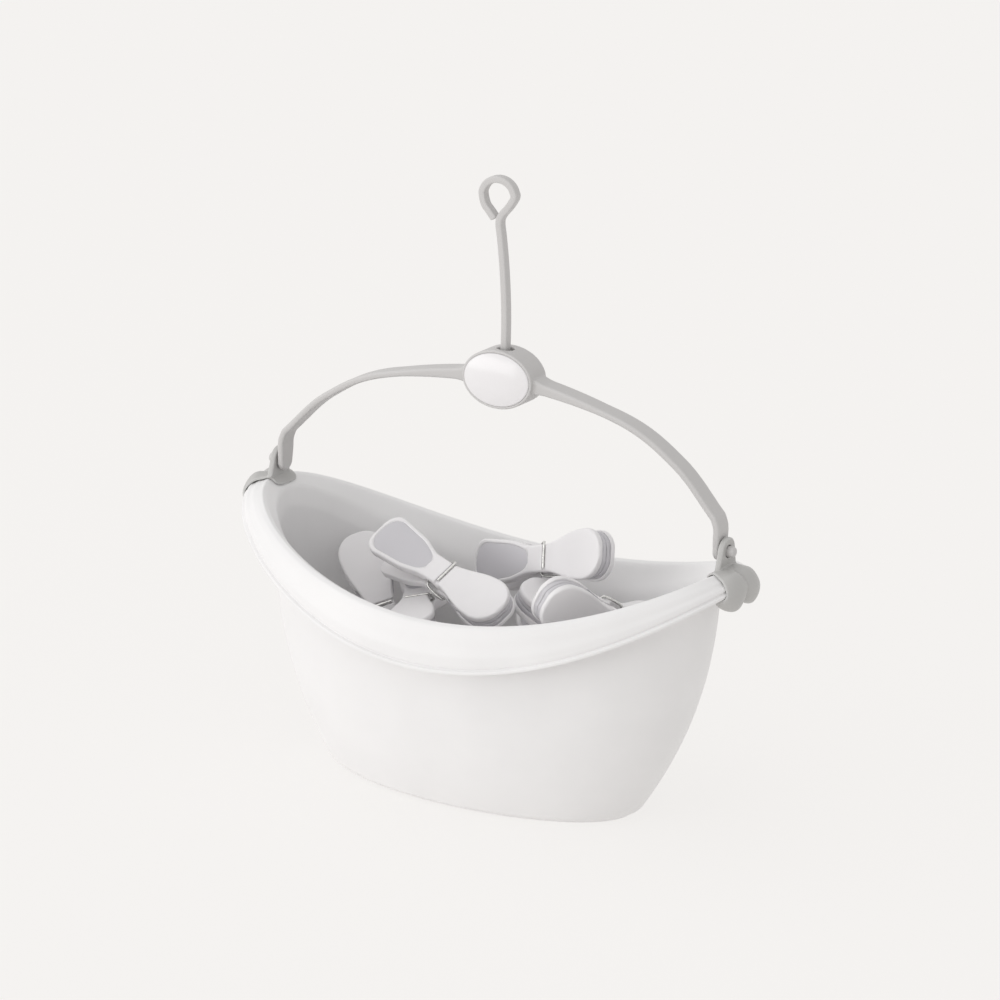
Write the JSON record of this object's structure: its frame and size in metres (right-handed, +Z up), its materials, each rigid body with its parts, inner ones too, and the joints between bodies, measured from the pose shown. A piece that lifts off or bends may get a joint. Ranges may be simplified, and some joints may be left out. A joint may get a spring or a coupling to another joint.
{
  "type": "peg basket",
  "caption": "Oval open basket for clothes pegs with a saddle-shaped overhanging rim, a swinging strap handle, a swivelling hanging hook and loose sprung pegs inside.",
  "frame": {"origin": "on the floor under the middle of the tub", "axes": "+Z up, X along the basket's length from one rim clip to the other, -Y towards the pictured front"},
  "size_m": [0.2698, 0.1486, 0.292],
  "materials": {
    "white_plastic": "satin",
    "grey_plastic": "satin",
    "badge_plastic": "gloss",
    "peg_plastic": "satin",
    "spring_wire": "bright",
    "soft_grip": "matte"
  },
  "bodies": {
    "basket": {"tub": "white_plastic", "rim_clip_right": "grey_plastic", "rim_clip_left": "grey_plastic", "peg_d_lower_arm": "peg_plastic", "peg_d_spring": "spring_wire", "peg_e_lower_arm": "peg_plastic", "peg_e_spring": "spring_wire", "peg_f_upper_arm": "peg_plastic", "peg_f_lower_arm": "peg_plastic", "peg_f_spring": "spring_wire", "peg_g_upper_arm": "peg_plastic", "peg_g_lower_arm": "peg_plastic", "peg_g_spring": "spring_wire", "peg_h_upper_arm": "peg_plastic", "peg_h_lower_arm": "peg_plastic", "peg_h_spring": "spring_wire", "peg_i_upper_arm": "peg_plastic", "peg_i_lower_arm": "peg_plastic", "peg_i_spring": "spring_wire", "peg_j_upper_arm": "peg_plastic", "peg_j_lower_arm": "peg_plastic", "peg_j_spring": "spring_wire", "peg_k_upper_arm": "peg_plastic", "peg_k_lower_arm": "peg_plastic", "peg_k_spring": "spring_wire"},
    "handle": {"handle": "grey_plastic", "badge_front": "badge_plastic", "badge_back": "badge_plastic"},
    "hook": {"hook": "grey_plastic"},
    "peg_a": {"peg_a_lower_arm": "peg_plastic", "peg_a_spring": "spring_wire"},
    "peg_b": {"peg_b_lower_arm": "peg_plastic", "peg_b_spring": "spring_wire"},
    "peg_c": {"peg_c_lower_arm": "peg_plastic", "peg_c_spring": "spring_wire"},
    "peg_a_top": {"peg_a_upper_arm": "peg_plastic"},
    "peg_b_top": {"peg_b_upper_arm": "peg_plastic"},
    "peg_c_top": {"peg_c_upper_arm": "peg_plastic"},
    "peg_d_top": {"peg_d_upper_arm": "peg_plastic"},
    "peg_e_top": {"peg_e_upper_arm": "peg_plastic"}
  },
  "joints": [
    {"name": "handle_swing", "type": "hinge", "parent": "basket", "child": "handle", "pos_m": [0, 0, 0.137], "axis": [1, 0, 0], "range_deg": [-100, 100]},
    {"name": "hook_swivel", "type": "hinge", "parent": "handle", "child": "hook", "pos_m": [0, 0, 0.206], "axis": [0, 0, 1], "continuous": true},
    {"name": "peg_a_lift", "type": "slide", "parent": "basket", "child": "peg_a", "axis": [0, 0, 1], "range_m": [0, 0.058]},
    {"name": "peg_b_lift", "type": "slide", "parent": "basket", "child": "peg_b", "axis": [0, 0, 1], "range_m": [0, 0.055]},
    {"name": "peg_c_lift", "type": "slide", "parent": "basket", "child": "peg_c", "axis": [0, 0, 1], "range_m": [0, 0.058]},
    {"name": "peg_a_open", "type": "hinge", "parent": "peg_a", "child": "peg_a_top", "pos_m": [-0.02399, -0.00799, 0.099], "axis": [-0.3503, -0.735, -0.5806], "range_deg": [0, 17], "stiffness_Nm_per_rad": 0.4, "springref_deg": -28.65, "deforming": ["peg_a_spring"]},
    {"name": "peg_b_open", "type": "hinge", "parent": "peg_b", "child": "peg_b_top", "pos_m": [0.01295, 0.02501, 0.106], "axis": [0.1998, -0.3661, -0.9089], "range_deg": [0, 17], "stiffness_Nm_per_rad": 0.4, "springref_deg": -28.65, "deforming": ["peg_b_spring"]},
    {"name": "peg_c_open", "type": "hinge", "parent": "peg_c", "child": "peg_c_top", "pos_m": [0.06517, -0.00606, 0.0957], "axis": [0.3883, 0.2094, 0.8974], "range_deg": [0, 17], "stiffness_Nm_per_rad": 0.4, "springref_deg": -28.65, "deforming": ["peg_c_spring"]},
    {"name": "peg_d_open", "type": "hinge", "parent": "basket", "child": "peg_d_top", "pos_m": [-0.06004, 0.00601, 0.067], "axis": [0.7445, 0.5702, 0.3473], "range_deg": [0, 17], "stiffness_Nm_per_rad": 0.4, "springref_deg": -28.65, "deforming": ["peg_d_spring"]},
    {"name": "peg_e_open", "type": "hinge", "parent": "basket", "child": "peg_e_top", "pos_m": [-0.03839, -0.00237, 0.0812], "axis": [-0.8864, -0.3947, -0.2419], "range_deg": [0, 17], "stiffness_Nm_per_rad": 0.4, "springref_deg": -28.65, "deforming": ["peg_e_spring"]}
  ]
}
